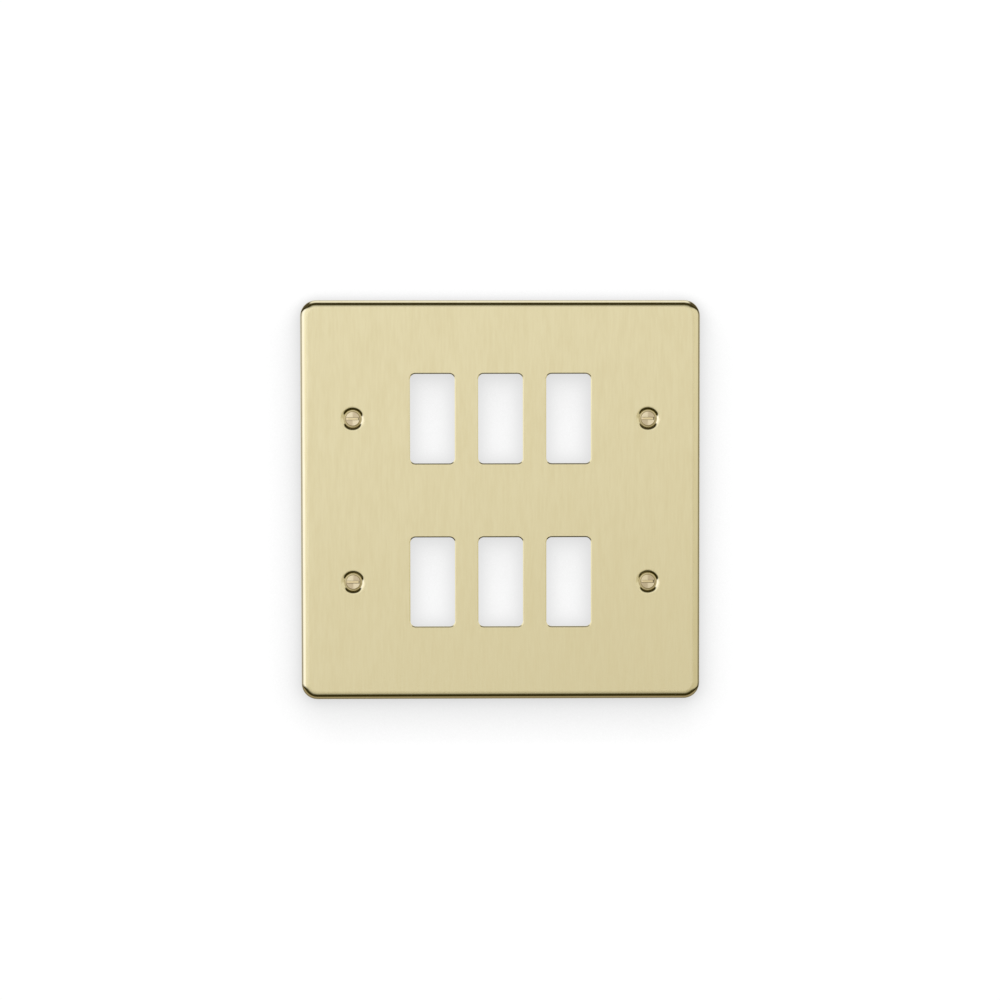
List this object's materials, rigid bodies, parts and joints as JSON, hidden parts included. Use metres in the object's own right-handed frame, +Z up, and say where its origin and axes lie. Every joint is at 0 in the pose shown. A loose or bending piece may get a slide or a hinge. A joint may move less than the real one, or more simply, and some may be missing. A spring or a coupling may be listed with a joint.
{
  "type": "grid switch plate",
  "caption": "Square pressed-brass grid switch plate with a rolled edge, rows of rectangular module openings, dimpled fixing holes and slotted raised countersunk screws.",
  "frame": {"origin": "centre of the plate in the wall plane, which is the back of the rolled rim", "axes": "+Z up, +X to the right seen from the front, +Y into the wall along the screws; the face looks along -Y"},
  "size_m": [0.147, 0.0258, 0.147],
  "materials": {
    "plate_brass": "brushed, lines upright, with a polished rolled edge",
    "screw_brass": "turned, satin"
  },
  "bodies": {
    "root": {"face_plate": "plate_brass", "fixing_screws": "screw_brass"}
  },
  "joints": []
}
